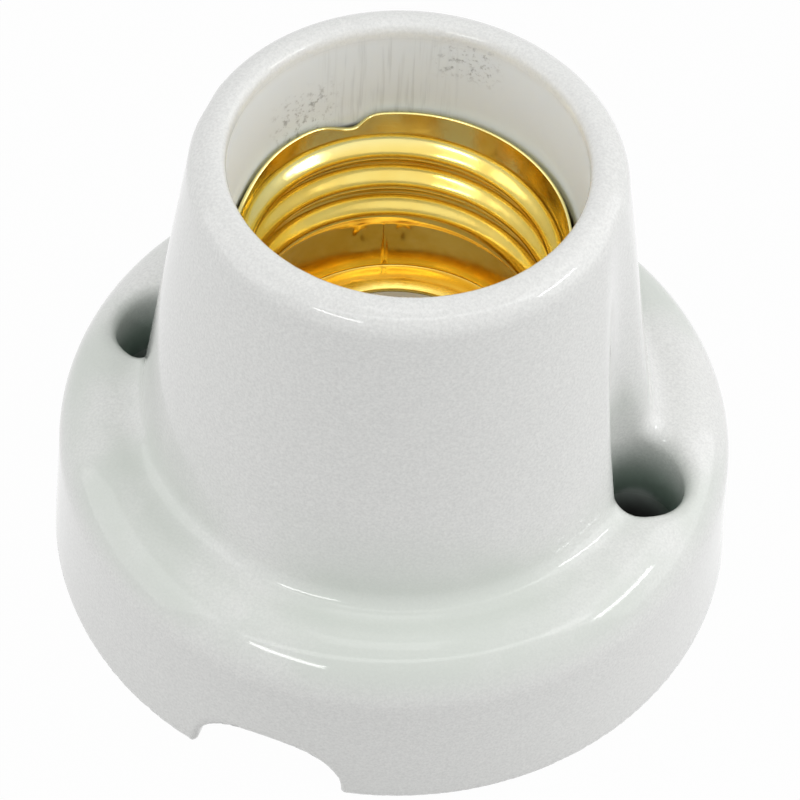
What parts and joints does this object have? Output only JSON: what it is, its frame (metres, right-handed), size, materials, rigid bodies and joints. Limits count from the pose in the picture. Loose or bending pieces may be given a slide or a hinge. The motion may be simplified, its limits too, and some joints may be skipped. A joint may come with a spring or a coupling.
{
  "type": "lamp holder",
  "caption": "Surface lamp holder in glazed porcelain with a rolled brass screw shell, a sprung centre contact and screw terminals in the open back.",
  "frame": {"origin": "centre of the circular foot, on the plane that meets the wall or ceiling", "axes": "+Z along the lamp axis towards the mouth, +X through the two fixing holes, -Y towards the cable notch"},
  "size_m": [0.06, 0.0595, 0.0463],
  "materials": {
    "porcelain": "gloss",
    "shell_brass": "polished",
    "contact_brass": "satin",
    "terminal_brass": "satin",
    "screw_brass": "satin"
  },
  "bodies": {
    "holder": {"porcelain_body": "porcelain", "screw_shell": "shell_brass", "shell_screw_left": "screw_brass", "shell_screw_right": "screw_brass", "shell_washer": "screw_brass", "shell_nut": "screw_brass", "contact_screw": "screw_brass", "neutral_terminal": "terminal_brass", "live_terminal": "terminal_brass"},
    "contact": {"centre_contact": "contact_brass"},
    "neutral_clamp": {"neutral_clamp_washer": "terminal_brass"},
    "live_clamp": {"live_clamp_washer": "terminal_brass"},
    "neutral_screw": {"neutral_wire_screw": "screw_brass"},
    "live_screw": {"live_wire_screw": "screw_brass"}
  },
  "joints": [
    {"name": "contact_press", "type": "slide", "parent": "holder", "child": "contact", "axis": [0, 0, -1], "range_m": [0, 0.0012], "stiffness_N_per_m": 2500, "deforming": ["centre_contact"]},
    {"name": "neutral_clamp_slide", "type": "slide", "parent": "holder", "child": "neutral_clamp", "axis": [0, 0, -1], "range_m": [0, 0.0021]},
    {"name": "neutral_screw_turn", "type": "hinge", "parent": "neutral_clamp", "child": "neutral_screw", "pos_m": [-0.0105, -0.01137, 0], "axis": [0, 0, -1], "range_deg": [0, 1260]},
    {"name": "live_clamp_slide", "type": "slide", "parent": "holder", "child": "live_clamp", "axis": [0, 0, -1], "range_m": [0, 0.0021]},
    {"name": "live_screw_turn", "type": "hinge", "parent": "live_clamp", "child": "live_screw", "pos_m": [0.0105, -0.01137, 0], "axis": [0, 0, -1], "range_deg": [0, 1260]}
  ],
  "couplings": [
    {"joint": "neutral_screw_turn", "follows": "neutral_clamp_slide", "rad_per_m": 10472},
    {"joint": "live_screw_turn", "follows": "live_clamp_slide", "rad_per_m": 10472}
  ]
}
